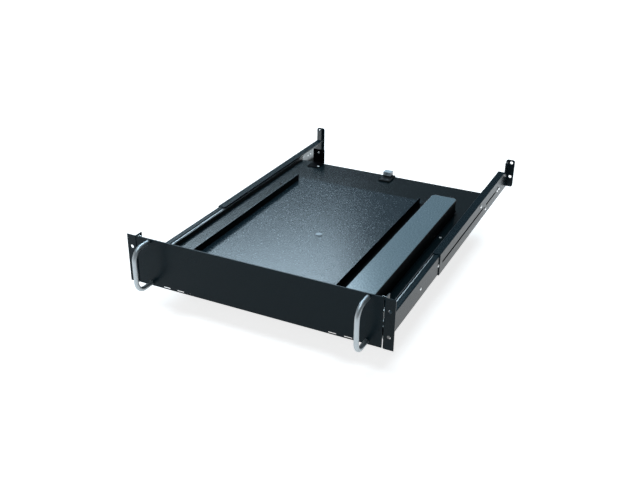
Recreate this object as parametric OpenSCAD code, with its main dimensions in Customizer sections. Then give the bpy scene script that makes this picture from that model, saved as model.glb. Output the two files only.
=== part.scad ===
// Rack keyboard drawer, two rack units high. Two telescopic ball slides between
// adjustable side brackets carry a steel tray. On the tray a round bearing bears
// a keyboard pan with a palm rest beside it. The front panel folds down on two
// hinges and has two bow handles. The origin is the middle of the four front
// mounting holes, on the front face of the ears. X is to the right, Y to the back.

/* [Rack fit] */
// Width over the two front ears
rack_w = 482.6; // [470:0.1:500]
// Height of the front ears
rack_h = 88.1; // [84:0.1:120]
// Distance from the outer edge of an ear to its hole centres
hole_inset = 8.75; // [7:0.05:10]
// Distance between the two holes of one front ear
front_hole_pitch = 44.45; // [30:0.05:60]
// Distance between the two holes of one rear ear
rear_hole_pitch = 31.75; // [20:0.05:40]
// Height of the lower rear hole above the foot of the ears
rear_hole_h = 23.2; // [15:0.1:25]
// Diameter of the mounting holes
rack_hole_d = 6.4; // [5:0.1:8]
// Width of a front ear
ear_w = 17.8; // [15:0.1:22]
// Depth from the front of the front ears to the back of the rear ears
depth = 725; // [700:1:800]

/* [Brackets] */
// Thickness of the folded bracket steel
bracket_t = 1.5; // [1:0.1:2]
// Height of a rear bracket
rail_h = 41; // [38:0.5:46]
// Distance from the front face to the front end of a rear bracket
rear_bracket_y = 258; // [220:1:300]
// Distance by which the slides reach past the back end of the front brackets
slide_overhang = 90; // [75:1:130]
// Width of the top and bottom flanges of a front bracket
front_flange_w = 9.5; // [6:0.5:12]
// Width of the top and bottom flanges of a rear bracket
rear_flange_w = 14.5; // [8:0.5:15]
// Length of the full-height gusset behind a front ear
gusset_l = 17; // [16:0.5:18]
// Height of a rear ear
rear_ear_h = 61.5; // [60:0.5:80]
// Width of a rear ear
rear_ear_w = 19; // [17:0.5:21]
// Length of the raised gusset in front of a rear ear
rear_gusset_l = 28; // [15:1:50]
// Width of the depth setting slots
slot_w = 4.6; // [4.2:0.1:6]

/* [Slides] */
// Length of the outer member of a slide
slide_l = 650; // [640:1:690]
// Distance from the front face to the front end of the outer members
slide_y = 20; // [18:1:26]
// Length of the inner member of a slide
inner_l = 573; // [540:1:575]
// Length of the middle member of a slide
middle_l = 580; // [540:1:600]
// Sheet thickness of the slide members
slide_t = 1.2; // [1:0.1:1.4]
// Diameter of the bearing balls
ball_d = 3.2; // [2.6:0.1:3.4]
// Number of balls in one row
balls_per_row = 8; // [4:1:10]
// Travel of the drawer on its slides
travel = 450; // [300:10:460]

/* [Drawer tray] */
// Height of the top of the tray above the foot of the ears
tray_level = 30; // [28:0.5:32]
// Sheet thickness of the tray and its side walls
sheet_t = 1.5; // [1:0.1:2]
// Distance from the front face to the front edge of the tray
tray_y = 14; // [13:0.5:18]
// Length of the tray from front to back
tray_l = 574; // [560:1:590]
// Depth of the edge strips below the rim of the tray
skirt_h = 15; // [12:0.5:18]
// Height of the top of a side wall
wall_top = 38; // [33:0.5:39]

/* [Keyboard pan] */
// Outer diameter of the round bearing under the pan
bearing_d = 180; // [120:1:220]
// Thickness of the round bearing
bearing_t = 3.1; // [2:0.1:4]
// Thickness of the turning plate
plate_t = 2; // [1.5:0.1:3]
// Gap between the pan and the left side wall
pan_margin = 55; // [40:0.5:80]
// Length of the flanges of the pan from front to back
pan_flange_l = 435; // [380:1:440]
// Height of the flanges above the floor of the pan
pan_flange_h = 14.6; // [8:0.1:20]
// Distance by which the pan floor reaches past its flanges at the back
pan_lip = 17.5; // [5:0.5:25]
// Diameter of the head of the pivot bolt
pivot_head_d = 12; // [10:0.5:16]

/* [Palm rest] */
// Width of the palm rest
palm_w = 49.5; // [40:0.5:52]
// Length of the palm rest
palm_l = 445; // [380:1:446]
// Height of the palm rest above the turning plate
palm_h = 25.9; // [15:0.1:30]
// Gap between the pan and the palm rest
palm_gap = 24; // [15:0.5:40]
// Gap between the palm rest and the right side wall
palm_margin = 19.4; // [15:0.1:30]
// Radius of the corners of the palm rest
palm_r = 8; // [2:0.5:15]

/* [Front panel] */
// Thickness of the front panel
panel_t = 2; // [1.5:0.1:2.5]
// Gap between the end of the panel and the bracket beside it
panel_gap = 1.5; // [1:0.1:2.5]
// Distance from each end of the tray to the middle of the hinge beside it
hinge_inset = 56.1; // [45:0.1:90]
// Distance between the two outer knuckles of a hinge
knuckle_pitch = 27; // [24:0.5:32]
// Diameter of the hinge pins
pin_d = 2.5; // [2:0.1:3]
// Outer diameter of the hinge knuckles
knuckle_d = 5.2; // [4.6:0.1:5.6]

/* [Handles] */
// Diameter of the handle rod
handle_d = 8; // [6:0.5:10]
// Distance between the two legs of a handle
handle_pitch = 77; // [60:0.5:78]
// Reach of the middle of the handle rod in front of the panel
handle_reach = 40; // [30:0.5:50]
// Radius of the handle bends
handle_r = 20; // [12:0.5:26]
// Distance from each end of the panel to the handle beside it
handle_inset = 24.5; // [22:0.5:36]

/* [Hidden] */
$fn = 48;

// Overrun of every cut and the common fits
cut = 0.5;
seat_gap = 0.2;
fit = 0.05;
screw_gap = 0.1;

// Screws and rivets: shank, head and head height
screw_d = 4;
head_d = 7.5;
head_h = 2.2;
hole_pitch_x = rack_w - 2 * hole_inset;
rivet_d = 3.2;
rivet_head_d = 5.6;
rivet_head_h = 1;

// Widths measured inwards from the inner face of the bracket webs
web_x = rack_w / 2 - ear_w;
front_out_x = web_x + bracket_t;
rear_out_x = front_out_x + bracket_t;
cage_t = 0.4;
cage_gap = 0.25;
middle_in = slide_t + 2 * cage_gap + cage_t;
outer_reach = 10.6;
reach_step = 0.6;
middle_reach = outer_reach + reach_step;
slide_w = middle_reach + slide_t;
inner_cage_in = middle_in + slide_t + 2 * cage_gap;
inner_in = inner_cage_in + cage_t + 4 * cage_gap;
wall_x = web_x - slide_w;
wall_in_x = wall_x - sheet_t;

// Heights of the nested slide members, all centred on the bracket
rail_mid = rail_h / 2;
front_lo = bracket_t;
front_hi = rail_h - bracket_t;
outer_h = rail_h - 4 * bracket_t - 2 * seat_gap;
track = ball_d + 2 * fit;
middle_h = outer_h - 2 * slide_t - 2 * track;
inner_h = middle_h - 2 * slide_t - 2 * track;

// Places along the depth
gusset_knee = rack_h * 5 / 8;
gusset_foot = gusset_l + bracket_t * 8;
clamp_edge = 31;
clamp_run = 38;
clamp_lift = 13;
clamp_drop = 6.3;
slide_end = slide_y + slide_l;
front_bracket_l = slide_end - slide_overhang;
clamp_ys = [front_bracket_l - clamp_edge - clamp_run, front_bracket_l - clamp_edge];
clamp_hs = [rail_mid + clamp_lift, rail_mid - clamp_drop];
slot_edge = 17;
rear_slot_l = 72;
rear_slot_edge = 12.5;
rear_screw_edge = 17;
rear_screw_run = 13;
rear_screw_ys = [slide_end - rear_screw_edge - rear_screw_run, slide_end - rear_screw_edge];
rivet_run = 91;
rivet_lead = 3.2;
rivet_ys = [rear_bracket_y - rivet_lead - rivet_run, rear_bracket_y - rivet_lead];
inner_y = tray_y - sheet_t;
cage_margin = 15;
cage_y = slide_y + travel / 4 + cage_margin;
outer_cage_end = slide_y + middle_l - travel / 4 - cage_margin;
inner_cage_end = inner_y + inner_l - travel / 4 - cage_margin;

// Heights of the pan and palm rest above the foot of the ears
plate_lo = tray_level + bearing_t;
plate_hi = plate_lo + plate_t;
pan_floor = plate_hi + sheet_t;

// Places of the pan and palm rest, which fill the tray from wall to wall
tray_end = tray_y + tray_l;
plate_edge = 2;
plate_y = tray_y + plate_edge + seat_gap / 2;
pivot_y = plate_y + plate_edge + palm_l / 2;
pan_left = wall_in_x - pan_margin;
palm_x = wall_in_x - palm_margin - palm_w;
pan_right = palm_x - palm_gap;
flange_y = pivot_y - pan_flange_l / 2;

// Hinge axis and front panel
knuckle_rise = 1.9;
knuckle_back = 2.4;
leaf_t = 1.2;
leaf_rise = 19.5;
hinge_y = panel_t + knuckle_d / 2 + knuckle_back;
hinge_h = knuckle_d / 2 + knuckle_rise;
hinge_x = wall_in_x - hinge_inset;
panel_x = web_x - panel_gap;
handle_x = panel_x - handle_inset;
panel_lo = 0.5;
knuckle_gap = 0.35;
knuckle_w = knuckle_pitch / 2 - knuckle_gap;
leaf_half = knuckle_pitch / 2 + knuckle_w / 2;
leaf_top = hinge_h + leaf_rise;
tray_screw_edge = 47;
tray_screw_ys = [tray_y + tray_screw_edge, tray_y + tray_l / 2, tray_end - tray_screw_edge];
hinge_rivet_off = 12;

// Catch clip on the bracket and the tongue on the panel
clip_t = 0.8;
clip_back = 2;
clip_rise = 12.5;
clip_y = panel_t + clip_back;
clip_end = gusset_l - clip_back;
clip_mid = rail_h + clip_rise;
clip_half = 8.5;
clip_lo = rail_h + clip_t;
clip_hi = rack_h - clip_back;
clip_mouth = 7;
bulge_l = 3;
tongue_t = 1.6;
tongue_gap = 0.3;
tongue_x = web_x - clip_mouth / 2 - tongue_t / 2;
tongue_foot_w = 14;
finger_h = 8;

// Cable clip and cable bracket at the rear edge of the tray
clip_foot_w = 24;
clip_foot_l = 38;
clip_foot_t = 3;
clip_foot_x = 3.5;
clip_pad_t = 2;
clip_x = 0.5;
clip_w = 17;
clip_l = 14;
clip_h = 7.5;
clip_lo_h = tray_level + clip_foot_t + clip_pad_t;
cable_d = 5;
bracket_inset = 27.3;
bracket_x = bracket_inset - wall_in_x;
bracket_w = 27;
bracket_h = 32;
bracket_foot_l = 33;
foot_screw_x = bracket_x + bracket_w - rivet_d;
foot_screw_y = tray_end - bracket_foot_l * 3 / 4;

// Place a child by its height above the foot of the front ears
module at(x, y, h) translate([x, y, h - rack_h / 2]) children();

// Straight-sided block between two limits on each axis
module slab(x, y, h)
    at(x[0], y[0], h[0]) cube([x[1] - x[0], y[1] - y[0], h[1] - h[0]]);

// Round rods along each axis, between two limits on that axis
module rod_x(x, y, h, d)
    at(x[0], y, h) rotate([0, 90, 0]) cylinder(d = d, h = x[1] - x[0]);
module rod_y(x, y, h, d)
    at(x, y[0], h) rotate([-90, 0, 0]) cylinder(d = d, h = y[1] - y[0]);
module rod_z(x, y, h, d)
    at(x, y, h[0]) cylinder(d = d, h = h[1] - h[0]);

// Slot through a wall that stands along Y
module slot_x(x, y, h, d) {
    rod_x(x, y[0], h, d);
    rod_x(x, y[1], h, d);
    slab(x, y, [h - d / 2, h + d / 2]);
}

// Rectangle with round corners
module rounded(w, l, r) {
    translate([r, 0]) square([w - 2 * r, l]);
    translate([0, r]) square([w, l - 2 * r]);
    for (x = [r, w - r], y = [r, l - r])
        translate([x, y]) circle(r = r);
}

module left() mirror([1, 0, 0]) children();
module both() {
    children();
    left() children();
}

// Pan head screw along X. The head is on the side that dir points to.
module screw_x(x_tip, x_seat, y, h, dir) {
    rod_x([min(x_tip, x_seat), max(x_tip, x_seat)], y, h, screw_d);
    rod_x([min(x_seat, x_seat + dir * head_h), max(x_seat, x_seat + dir * head_h)], y, h, head_d);
}

// Folded bracket outline in the Y and Z plane, thickened along X
module web(x, points)
    at(x, 0, 0) rotate([90, 0, 90]) linear_extrude(bracket_t) polygon(points);

// Front bracket: ear, gusset, web and two flanges folded from one sheet
module front_bracket() {
    color([0.13, 0.15, 0.17]) difference() {
        union() {
            slab([web_x, rack_w / 2], [0, bracket_t], [0, rack_h]);
            web(web_x, [[0, 0], [gusset_l, 0], [gusset_l, front_lo], [front_bracket_l, front_lo],
                [front_bracket_l, front_hi], [gusset_foot, front_hi], [gusset_l, gusset_knee],
                [gusset_l, rack_h], [0, rack_h]]);
            for (h = [front_lo, front_hi - bracket_t])
                slab([front_out_x - front_flange_w, front_out_x], [gusset_foot, front_bracket_l],
                    [h, h + bracket_t]);
        }
        for (s = [-1, 1])
            rod_y(hole_pitch_x / 2, [-cut, bracket_t + cut],
                rack_h / 2 + s * front_hole_pitch / 2, rack_hole_d);
        for (i = [0, 1])
            rod_x([web_x - cut, front_out_x + cut], clamp_ys[i], clamp_hs[i],
                screw_d + 2 * screw_gap);
        for (y = rivet_ys)
            rod_x([web_x - cut, front_out_x + cut], y, rail_mid, rivet_d + 2 * screw_gap);
    }
}

// Rear bracket: slides over the front bracket and ends in the rear ear
module rear_bracket() {
    ear_corner_r = 4.5;
    ear_out = hole_pitch_x / 2 + (rear_ear_w - sheet_t) / 2 - bracket_t;
    rear_flange_y = depth - rear_gusset_l;
    color([0.13, 0.15, 0.17]) difference() {
        union() {
            web(front_out_x, [[rear_bracket_y, 0], [depth, 0], [depth, rear_ear_h],
                [rear_flange_y, rear_ear_h], [rear_flange_y, rail_h], [rear_bracket_y, rail_h]]);
            for (h = [0, rail_h - bracket_t])
                slab([rear_out_x - rear_flange_w, rear_out_x], [rear_bracket_y, rear_flange_y],
                    [h, h + bracket_t]);
            at(ear_out - rear_ear_w, depth, 0) rotate([90, 0, 0]) linear_extrude(bracket_t)
                rounded(rear_ear_w, rear_ear_h, ear_corner_r);
        }
        for (h = [rear_hole_h, rear_hole_h + rear_hole_pitch])
            rod_y(hole_pitch_x / 2, [depth - bracket_t - cut, depth + cut], h, rack_hole_d);
        slot_x([front_out_x - cut, rear_out_x + cut],
            [rear_bracket_y + slot_edge, clamp_ys[1] - slot_edge], rail_mid, slot_w);
        slot_x([front_out_x - cut, rear_out_x + cut], [rear_screw_ys[0] - rear_slot_edge - rear_slot_l,
            rear_screw_ys[0] - rear_slot_edge], rail_mid, slot_w);
        for (i = [0, 1])
            rod_x([front_out_x - cut, rear_out_x + cut], clamp_ys[i], clamp_hs[i],
                screw_d + 2 * screw_gap);
        for (y = rear_screw_ys)
            rod_x([front_out_x - cut, rear_out_x + cut], y, rail_mid, screw_d + 2 * screw_gap);
    }
}

module clamp_screws() {
    color([0.75, 0.77, 0.78]) both() for (i = [0, 1])
        screw_x(web_x, rear_out_x, clamp_ys[i], clamp_hs[i], 1);
}

module slide_rear_screws() {
    color([0.75, 0.77, 0.78]) both() for (y = rear_screw_ys)
        screw_x(web_x - slide_t, rear_out_x, y, rail_mid, 1);
}

module spacer_washers() {
    color([0.6, 0.62, 0.64]) both() for (y = rear_screw_ys) difference() {
        rod_x([web_x, front_out_x], y, rail_mid, head_d);
        rod_x([web_x - cut, front_out_x + cut], y, rail_mid, screw_d + 2 * screw_gap);
    }
}

module slide_rivets() {
    color([0.75, 0.77, 0.78]) both() for (y = rivet_ys) {
        rod_x([web_x - slide_t, front_out_x], y, rail_mid, rivet_d);
        rod_x([front_out_x, front_out_x + rivet_head_h], y, rail_mid, rivet_head_d);
    }
}

// Spring clip on the gusset: grips the tongue of the closed front panel
module catch_clip() {
    mouth_x = web_x - clip_mouth;
    color([0.78, 0.8, 0.8]) {
        slab([web_x - clip_t, web_x], [clip_y, clip_end], [clip_lo, clip_hi]);
        slab([mouth_x, web_x], [clip_end - clip_t, clip_end],
            [clip_mid - clip_half, clip_mid + clip_half]);
        slab([mouth_x, mouth_x + clip_t], [clip_y, clip_end],
            [clip_mid - clip_half, clip_mid + clip_half]);
        for (x = [[mouth_x + clip_t, tongue_x - tongue_gap],
                [tongue_x + tongue_t + tongue_gap, web_x - clip_t]])
            slab(x, [clip_y + bulge_l, clip_y + 2 * bulge_l],
                [clip_mid - clip_half, clip_mid + clip_half]);
        slab([mouth_x, web_x], [clip_y + bulge_l, clip_y + bulge_l + clip_t],
            [clip_hi - finger_h, clip_hi]);
    }
}

// C-shaped slide member between two distances inwards from the bracket web
module channel(s, h, y, web_outside) {
    void_x = web_outside ? [web_x - s[1] - cut, web_x - s[0] - slide_t]
        : [web_x - s[1] + slide_t, web_x - s[0] + cut];
    difference() {
        slab([web_x - s[1], web_x - s[0]], y, [rail_mid - h / 2, rail_mid + h / 2]);
        slab(void_x, [y[0] - cut, y[1] + cut],
            [rail_mid - h / 2 + slide_t, rail_mid + h / 2 - slide_t]);
    }
}

module outer_slide() {
    color([0.72, 0.74, 0.75]) difference() {
        channel([0, outer_reach], outer_h, [slide_y, slide_end], true);
        for (y = rivet_ys)
            rod_x([web_x - slide_t - cut, web_x + cut], y, rail_mid, rivet_d + 2 * screw_gap);
        for (y = rear_screw_ys)
            rod_x([web_x - slide_t - cut, web_x + cut], y, rail_mid, screw_d + 2 * screw_gap);
    }
}

module middle_slide() {
    color([0.68, 0.7, 0.72])
        channel([middle_in, middle_reach], middle_h, [slide_y, slide_y + middle_l], true);
}

module inner_slide() {
    color([0.72, 0.74, 0.75]) difference() {
        channel([inner_in, slide_w], inner_h, [inner_y, inner_y + inner_l], false);
        for (y = tray_screw_ys)
            rod_x([wall_x - cut, wall_x + slide_t + cut], y, rail_mid, screw_d + 2 * screw_gap);
    }
}

// Ball cage: a strip between two slide webs, with a lip of caged balls on each edge
module ball_cage(s, reach, ball_s, row_h, y_end) {
    pitch = (y_end - cage_y) / balls_per_row;
    ball_ys = [for (i = [0 : balls_per_row - 1]) cage_y + (i + 1 / 2) * pitch];
    slab([web_x - s - cage_t, web_x - s], [cage_y, y_end], [rail_mid - row_h, rail_mid + row_h]);
    for (k = [-1, 1]) {
        difference() {
            slab([web_x - reach, web_x - s], [cage_y, y_end],
                [rail_mid + k * row_h - cage_t, rail_mid + k * row_h + cage_t]);
            for (y = ball_ys)
                rod_z(web_x - ball_s, y, [rail_mid + k * row_h - cage_t - cut,
                    rail_mid + k * row_h + cage_t + cut], ball_d + 2 * fit);
        }
        for (y = ball_ys)
            at(web_x - ball_s, y, rail_mid + k * row_h) sphere(d = ball_d);
    }
}

module outer_ball_cages() {
    strip = slide_t + cage_gap;
    color([0.8, 0.72, 0.45]) both()
        ball_cage(strip, outer_reach - 2 * cage_gap, (strip + outer_reach) / 2,
            outer_h / 2 - slide_t - track / 2, outer_cage_end);
}

module inner_ball_cages() {
    color([0.8, 0.72, 0.45]) both()
        ball_cage(inner_cage_in, middle_reach - 2 * cage_gap, (inner_in + middle_reach) / 2,
            middle_h / 2 - slide_t - track / 2, inner_cage_end);
}

// Side wall of the drawer: stands beside the tray and carries the inner slide
module side_wall() {
    foot_h = 5;
    foot_w = 10;
    color([0.12, 0.13, 0.15]) difference() {
        union() {
            slab([wall_in_x, wall_x], [inner_y, tray_end], [foot_h, wall_top]);
            slab([wall_in_x - foot_w, wall_x], [inner_y, tray_end], [foot_h, foot_h + sheet_t]);
        }
        for (y = tray_screw_ys)
            rod_x([wall_in_x - cut, wall_x + cut], y, rail_mid, screw_d + 2 * screw_gap);
    }
}

// Base tray: a flat sheet, stiffened by four strips that stand on edge below its rim
stud_inset = 26;
stud_edge = 153.4;
tray_lo = tray_level - sheet_t;
module base_tray() {
    color([0.16, 0.19, 0.21]) difference() {
        slab([-wall_in_x, wall_in_x], [tray_y, tray_end], [tray_lo, tray_level]);
        rod_z(0, pivot_y, [tray_lo - cut, tray_level + cut], pivot_d + 2 * screw_gap);
        rod_z(stud_inset - wall_in_x, tray_end - stud_edge, [tray_lo - cut, tray_level + cut],
            rivet_head_d);
        rod_z(rivet_x, rivet_y, [tray_lo - cut, tray_level + cut], rivet_d + 2 * screw_gap);
        for (x = clip_screw_xs)
            rod_z(x, clip_screw_y, [tray_lo - cut, tray_level + cut], rivet_d + 2 * screw_gap);
        rod_z(foot_screw_x, foot_screw_y, [tray_lo - cut, tray_level + cut],
            rivet_d + 2 * screw_gap);
    }
}

module edge_strips() {
    color([0.16, 0.19, 0.21]) {
        both() difference() {
            slab([wall_in_x - sheet_t, wall_in_x], [tray_y + sheet_t, tray_end - sheet_t],
                [tray_lo - skirt_h, tray_lo]);
            for (y = tray_screw_ys)
                rod_x([wall_in_x - sheet_t - cut, wall_in_x + cut], y, rail_mid,
                    screw_d + 2 * screw_gap);
        }
        slab([-wall_in_x, wall_in_x], [tray_end - sheet_t, tray_end], [tray_lo - skirt_h, tray_lo]);
        difference() {
            slab([-wall_in_x, wall_in_x], [tray_y, tray_y + sheet_t], [tray_lo - skirt_h, tray_lo]);
            for (s = [-1, 1], t = [-1, 1])
                rod_y(s * hinge_x + t * hinge_rivet_off, [tray_y - cut, tray_y + sheet_t + cut],
                    hinge_rivet_h, rivet_d + 2 * screw_gap);
        }
    }
}

// Screws that hold edge strip, side wall and inner slide member together
module tray_screws() {
    color([0.75, 0.77, 0.78]) both() for (y = tray_screw_ys)
        screw_x(wall_x + slide_t, wall_in_x - sheet_t, y, rail_mid, -1);
}

rivet_inset = 11.8;
tray_rivet_edge = 242.4;
rivet_x = wall_in_x - rivet_inset;
rivet_y = tray_end - tray_rivet_edge;
module tray_rivet() {
    color([0.8, 0.82, 0.82]) {
        rod_z(rivet_x, rivet_y, [tray_lo, tray_level], rivet_d);
        rod_z(rivet_x, rivet_y, [tray_level, tray_level + rivet_head_h], rivet_head_d);
    }
}

// Flat round bearing that the turning plate rides on
module bearing_ring() {
    ring_w = 15;
    color([0.1, 0.1, 0.1]) difference() {
        rod_z(0, pivot_y, [tray_level, plate_lo], bearing_d);
        rod_z(0, pivot_y, [tray_level - cut, plate_lo + cut], bearing_d - 2 * ring_w);
    }
}

// Turning plate under the pan and the palm rest
module turn_plate() {
    color([0.12, 0.13, 0.15]) difference() {
        slab([-pan_left, palm_x + palm_w], [plate_y, plate_y + palm_l + 2 * plate_edge],
            [plate_lo, plate_hi]);
        rod_z(0, pivot_y, [plate_lo - cut, plate_hi + cut], pivot_d + 2 * screw_gap);
        for (y = palm_screw_ys)
            rod_z(palm_x + palm_w / 2, y, [plate_lo - cut, plate_hi + cut],
                screw_d + 2 * screw_gap);
    }
}

// Keyboard pan: floor with an upturned flange on each long side
module keyboard_pan() {
    color([0.25, 0.31, 0.35]) difference() {
        union() {
            slab([-pan_left, pan_right], [plate_y, flange_y + pan_flange_l + pan_lip],
                [plate_hi, pan_floor]);
            for (x = [-pan_left, pan_right - sheet_t])
                slab([x, x + sheet_t], [flange_y, flange_y + pan_flange_l],
                    [plate_hi, pan_floor + pan_flange_h]);
        }
        rod_z(0, pivot_y, [plate_hi - cut, pan_floor + cut], pivot_d + 2 * screw_gap);
    }
}

// Pivot bolt with its washer and lock nut under the tray
pivot_d = 8;
pivot_head_h = 1.2;
washer_t = 1.6;
nut_h = 6.5;
nut_d = 14;
module pivot_bolt() {
    color([0.7, 0.72, 0.74]) {
        rod_z(0, pivot_y, [tray_lo - washer_t - nut_h, pan_floor], pivot_d);
        rod_z(0, pivot_y, [pan_floor, pan_floor + pivot_head_h], pivot_head_d);
    }
}

module pivot_washer() {
    color([0.7, 0.72, 0.74]) difference() {
        rod_z(0, pivot_y, [tray_lo - washer_t, tray_lo], 2 * pivot_d);
        rod_z(0, pivot_y, [tray_lo - washer_t - cut, tray_level], pivot_d + 2 * fit);
    }
}

module pivot_nut() {
    nut_hi = tray_lo - washer_t;
    color([0.7, 0.72, 0.74]) difference() {
        at(0, pivot_y, nut_hi - nut_h) cylinder(d = nut_d, h = nut_h, $fn = 6);
        rod_z(0, pivot_y, [nut_hi - nut_h - cut, nut_hi + cut], pivot_d + 2 * fit);
    }
}

// Palm rest: a solid moulded bar, screwed to the turning plate from below
palm_screw_l = 14;
palm_screw_edge = 42;
palm_screw_ys = [pivot_y - palm_l / 2 + palm_screw_edge, pivot_y,
    pivot_y + palm_l / 2 - palm_screw_edge];
module palm_rest() {
    color([0.25, 0.31, 0.35]) difference() {
        at(palm_x, pivot_y - palm_l / 2, plate_hi) linear_extrude(palm_h)
            rounded(palm_w, palm_l, palm_r);
        for (y = palm_screw_ys)
            rod_z(palm_x + palm_w / 2, y, [plate_hi - cut, plate_hi + palm_screw_l],
                screw_d + 2 * screw_gap);
    }
}

module palm_rest_screws() {
    color([0.7, 0.72, 0.74]) for (y = palm_screw_ys) {
        rod_z(palm_x + palm_w / 2, y, [plate_lo, plate_hi + palm_screw_l - screw_d / 2], screw_d);
        rod_z(palm_x + palm_w / 2, y, [plate_lo - head_h, plate_lo], head_d);
    }
}

// Cable clip: a pale plastic jaw on a black foot, on the rear edge of the tray
clip_screw_xs = [clip_foot_x - clip_foot_w / 4, clip_foot_x + clip_foot_w / 4];
clip_screw_y = tray_end - clip_foot_l + head_d;
module clip_foot() {
    color([0.12, 0.13, 0.15]) difference() {
        union() {
            slab([clip_foot_x - clip_foot_w / 2, clip_foot_x + clip_foot_w / 2],
                [tray_end - clip_foot_l, tray_end], [tray_level, tray_level + clip_foot_t]);
            slab([clip_x - clip_w / 2, clip_x + clip_w / 2], [tray_end - clip_l, tray_end],
                [tray_level, clip_lo_h]);
        }
        for (x = clip_screw_xs)
            rod_z(x, clip_screw_y, [tray_level - cut, tray_level + clip_foot_t + cut],
                rivet_d + 2 * screw_gap);
    }
}

module cable_clip() {
    color([0.72, 0.76, 0.8]) difference() {
        slab([clip_x - clip_w / 2, clip_x + clip_w / 2], [tray_end - clip_l, tray_end],
            [clip_lo_h, clip_lo_h + clip_h]);
        rod_y(clip_x, [tray_end - clip_l - cut, tray_end + cut], clip_lo_h + clip_h / 2, cable_d);
    }
}

module clip_screws() {
    color([0.2, 0.2, 0.2]) for (x = clip_screw_xs) {
        rod_z(x, clip_screw_y, [tray_lo, tray_level + clip_foot_t], rivet_d);
        rod_z(x, clip_screw_y, [tray_level + clip_foot_t, tray_level + clip_foot_t + rivet_head_h],
            rivet_head_d);
    }
}

// Cable bracket: an upright plate folded up from a foot that is screwed on the tray
bracket_screw_h = tray_level + bracket_h * 3 / 4;
module cable_bracket() {
    color([0.05, 0.05, 0.06]) difference() {
        union() {
            slab([bracket_x, bracket_x + bracket_w], [tray_end - bracket_foot_l, tray_end],
                [tray_level, tray_level + sheet_t]);
            slab([bracket_x, bracket_x + bracket_w], [tray_end - sheet_t, tray_end],
                [tray_level, tray_level + bracket_h]);
        }
        rod_z(foot_screw_x, foot_screw_y, [tray_level - cut, tray_level + sheet_t + cut],
            rivet_d + 2 * screw_gap);
        rod_y(bracket_x + bracket_w / 2, [tray_end - sheet_t - cut, tray_end + cut],
            bracket_screw_h, rivet_d + 2 * screw_gap);
    }
}

module cable_bracket_screws() {
    color([0.8, 0.82, 0.82]) {
        rod_z(foot_screw_x, foot_screw_y, [tray_lo, tray_level + sheet_t], rivet_d);
        rod_z(foot_screw_x, foot_screw_y,
            [tray_level + sheet_t, tray_level + sheet_t + rivet_head_h], rivet_head_d);
        rod_y(bracket_x + bracket_w / 2, [tray_end - sheet_t, tray_end], bracket_screw_h, rivet_d);
        rod_y(bracket_x + bracket_w / 2, [tray_end - sheet_t - rivet_head_h, tray_end - sheet_t],
            bracket_screw_h, rivet_head_d);
    }
}

// Hinge knuckle round the hinge axis, between two limits along X
module knuckle(x) rod_x(x, hinge_y, hinge_h, knuckle_d);
module pin_bore(x) rod_x([x - leaf_half - cut, x + leaf_half + cut], hinge_y, hinge_h, pin_d + 2 * fit);

hinge_rivet_h = tray_lo - skirt_h / 2;
module tray_hinge_leaves() {
    mid_half = (knuckle_pitch - knuckle_w) / 2 - knuckle_gap;
    color([0.75, 0.77, 0.78]) for (s = [-1, 1]) difference() {
        union() {
            knuckle([s * hinge_x - mid_half, s * hinge_x + mid_half]);
            slab([s * hinge_x - mid_half, s * hinge_x + mid_half], [hinge_y, tray_y],
                [hinge_h - leaf_t / 2, hinge_h + leaf_t / 2]);
            slab([s * hinge_x - leaf_half, s * hinge_x + leaf_half], [tray_y - leaf_t, tray_y],
                [hinge_h - leaf_t / 2, leaf_top]);
        }
        pin_bore(s * hinge_x);
        for (t = [-1, 1])
            rod_y(s * hinge_x + t * hinge_rivet_off, [tray_y - leaf_t - cut, tray_y + cut],
                hinge_rivet_h, rivet_d + 2 * screw_gap);
    }
}

module hinge_rivets() {
    color([0.75, 0.77, 0.78]) for (s = [-1, 1], t = [-1, 1]) {
        rod_y(s * hinge_x + t * hinge_rivet_off, [tray_y - leaf_t, tray_y + sheet_t],
            hinge_rivet_h, rivet_d);
        rod_y(s * hinge_x + t * hinge_rivet_off, [tray_y - leaf_t - rivet_head_h, tray_y - leaf_t],
            hinge_rivet_h, rivet_head_d);
    }
}

module hinge_pins() {
    color([0.6, 0.62, 0.64]) for (s = [-1, 1])
        rod_x([s * hinge_x - leaf_half, s * hinge_x + leaf_half], hinge_y, hinge_h, pin_d);
}

// Moving hinge leaves: spot-welded behind the panel, seen through its slots
module panel_hinge_leaves() {
    lip_lo = hinge_h - knuckle_d / 2;
    color([0.75, 0.77, 0.78]) for (s = [-1, 1]) difference() {
        union() {
            for (t = [-1, 1]) {
                x = s * hinge_x + t * knuckle_pitch / 2;
                knuckle([x - knuckle_w / 2, x + knuckle_w / 2]);
                slab([x - knuckle_w / 2, x + knuckle_w / 2], [panel_t, hinge_y], [lip_lo, lip_lo + leaf_t]);
            }
            slab([s * hinge_x - leaf_half, s * hinge_x + leaf_half], [panel_t, panel_t + leaf_t],
                [lip_lo, leaf_top]);
        }
        pin_bore(s * hinge_x);
    }
}

// Front panel: plain plate with hinge slots along its foot
module front_panel() {
    slot_lo = 1.6;
    slot_h = 2.8;
    slot_l = 14;
    dot_off = 32;
    dot_d = 2.4;
    color([0.12, 0.14, 0.16]) difference() {
        slab([-panel_x, panel_x], [0, panel_t], [panel_lo, rack_h]);
        for (s = [-1, 1], t = [-1, 1]) {
            x = s * hinge_x + t * knuckle_pitch / 2;
            slab([x - slot_l / 2, x + slot_l / 2], [-cut, panel_t + cut], [slot_lo, slot_lo + slot_h]);
        }
        rod_y(dot_off - hinge_x, [-cut, panel_t + cut], slot_lo + slot_h / 2, dot_d);
        for (s = [-1, 1], t = [-1, 1])
            rod_y(s * handle_x, [-cut, panel_t + cut], rack_h / 2 + t * handle_pitch / 2,
                screw_d + 2 * screw_gap);
    }
}

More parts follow.
